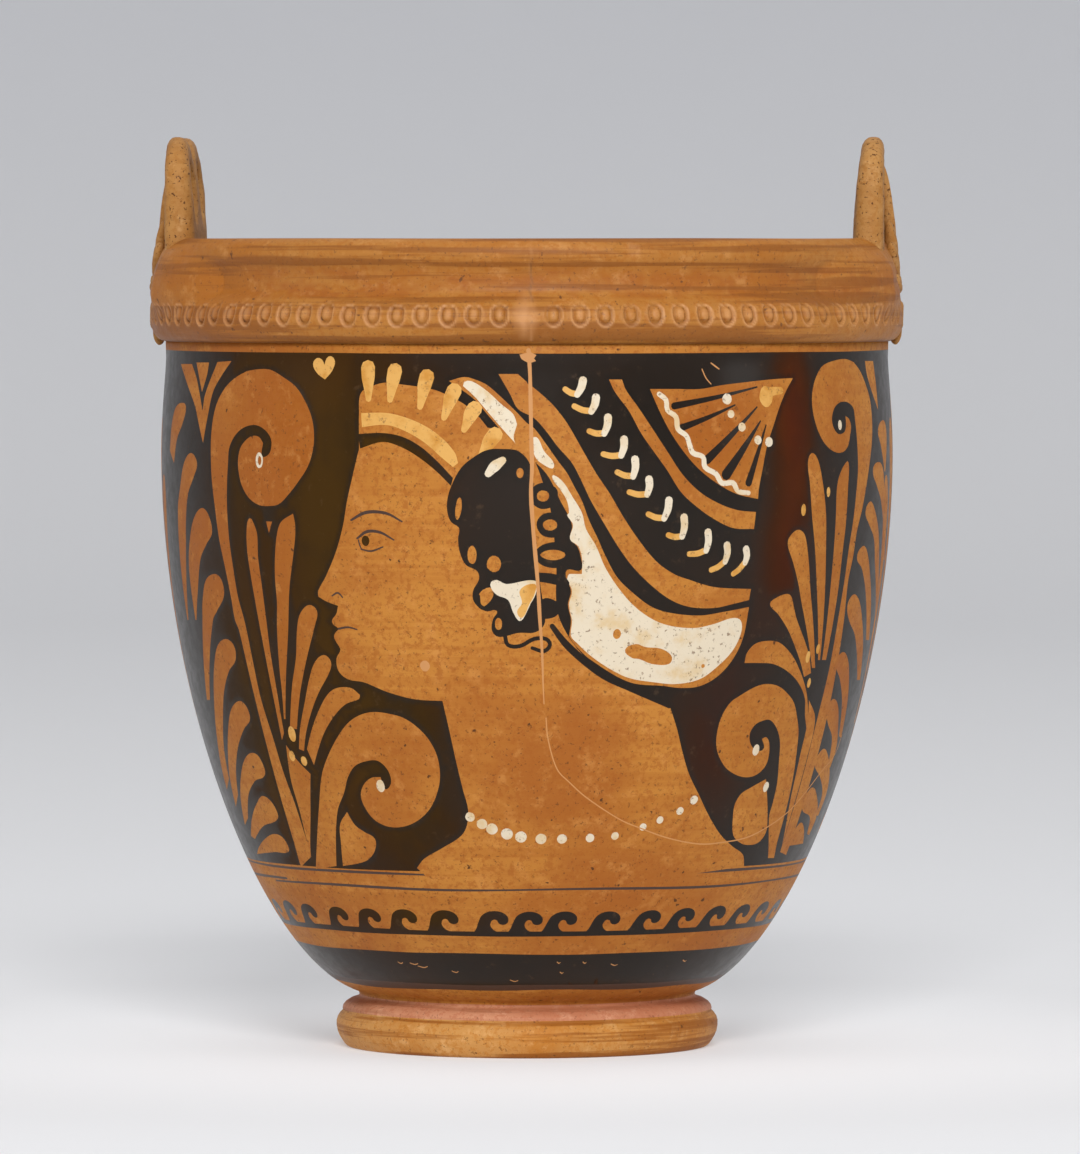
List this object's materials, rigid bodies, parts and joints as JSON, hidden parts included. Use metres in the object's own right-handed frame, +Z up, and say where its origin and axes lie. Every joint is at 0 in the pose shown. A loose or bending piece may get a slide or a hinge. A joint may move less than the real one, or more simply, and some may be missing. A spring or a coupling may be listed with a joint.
{
  "type": "situla",
  "caption": "Fired-clay wine bucket with a stamped rim, two upright twin-loop handles to take a carrying bail or cord, and a ring foot; open at the top and empty.",
  "frame": {"origin": "on the vessel's axis, in the plane that the foot stands on", "axes": "+Z up the axis towards the mouth, the two handles on +X and -X, the main picture side facing -Y"},
  "size_m": [0.2258, 0.2248, 0.2725],
  "materials": {
    "terracotta": "satin"
  },
  "bodies": {
    "root": {"situla": "terracotta"}
  },
  "joints": []
}
